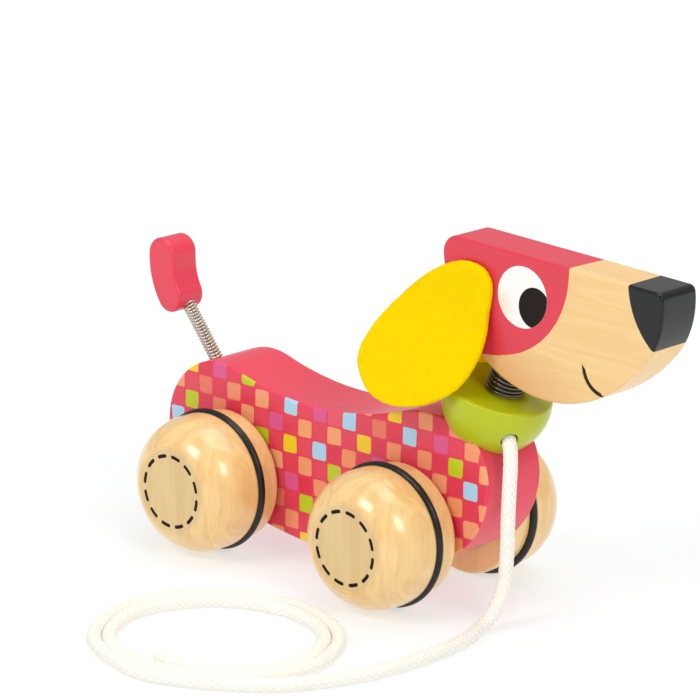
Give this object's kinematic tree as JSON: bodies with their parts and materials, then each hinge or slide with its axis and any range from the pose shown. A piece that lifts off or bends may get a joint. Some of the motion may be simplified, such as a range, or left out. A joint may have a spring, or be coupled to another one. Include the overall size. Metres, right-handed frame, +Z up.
{
  "type": "pull along toy",
  "caption": "Wooden pull-along dog on wheels, with a sprung head, a sprung tail, felt ears and a cotton pull cord laid out beside it.",
  "frame": {"origin": "On the floor, midway between the tip of the nose and the back of the tail block, on the dog's middle plane. The free cord is left out of this.", "axes": "+X points to the nose, +Y to the dog's left, +Z up. The dog stands on its four tyres at Z = 0 and its pull cord lies out on its right, at -Y."},
  "size_m": [0.235, 0.1819, 0.1298],
  "materials": {
    "red_paint": "painted, satin",
    "lime_paint": "painted, satin",
    "varnished_wood": "gloss",
    "plain_wood": "matte",
    "yellow_felt": "matte",
    "spring_steel": "satin",
    "tyre_rubber": "matte",
    "cotton_cord": "matte"
  },
  "bodies": {
    "root": {"body_block": "red_paint", "collar": "lime_paint", "collar_dowel": "plain_wood", "neck_peg_collar": "plain_wood", "cord_knot": "cotton_cord", "pull_cord": "cotton_cord", "pull_cord_coil": "cotton_cord"},
    "neck": {"neck_spring": "spring_steel"},
    "head": {"head_block": "varnished_wood", "neck_peg_head": "plain_wood", "ear_left": "yellow_felt", "ear_right": "yellow_felt"},
    "tail_coil": {"tail_spring": "spring_steel"},
    "tail": {"tail_block": "red_paint"},
    "front_wheelset": {"front_axle": "plain_wood", "wheel_front_left": "varnished_wood", "wheel_front_right": "varnished_wood", "tyre_front_left": "tyre_rubber", "tyre_front_right": "tyre_rubber"},
    "rear_wheelset": {"rear_axle": "plain_wood", "wheel_rear_left": "varnished_wood", "wheel_rear_right": "varnished_wood", "tyre_rear_left": "tyre_rubber", "tyre_rear_right": "tyre_rubber"}
  },
  "joints": [
    {"name": "head_nod", "type": "hinge", "parent": "root", "child": "neck", "pos_m": [0.04801, 0, 0.08232], "axis": [0, 1, 0], "range_deg": [-10, 10], "stiffness_Nm_per_rad": 0.15, "springref_deg": -3.44, "deforming": ["neck_spring"]},
    {"name": "head_sway", "type": "hinge", "parent": "neck", "child": "head", "pos_m": [0.04801, 0, 0.08232], "axis": [0.9336, 0, -0.3584], "range_deg": [-5, 5], "stiffness_Nm_per_rad": 0.15},
    {"name": "tail_nod", "type": "hinge", "parent": "root", "child": "tail_coil", "pos_m": [-0.0953, 0, 0.0684], "axis": [0, 1, 0], "range_deg": [-20, 20], "stiffness_Nm_per_rad": 0.012, "deforming": ["tail_spring"]},
    {"name": "tail_wag", "type": "hinge", "parent": "tail_coil", "child": "tail", "pos_m": [-0.0953, 0, 0.0684], "axis": [0.766, 0, 0.6428], "range_deg": [-25, 25], "stiffness_Nm_per_rad": 0.012},
    {"name": "front_axle_spin", "type": "hinge", "parent": "root", "child": "front_wheelset", "pos_m": [0.017, 0, 0.0255], "axis": [0, 1, 0], "continuous": true},
    {"name": "rear_axle_spin", "type": "hinge", "parent": "root", "child": "rear_wheelset", "pos_m": [-0.0656, 0, 0.0255], "axis": [0, 1, 0], "continuous": true}
  ]
}
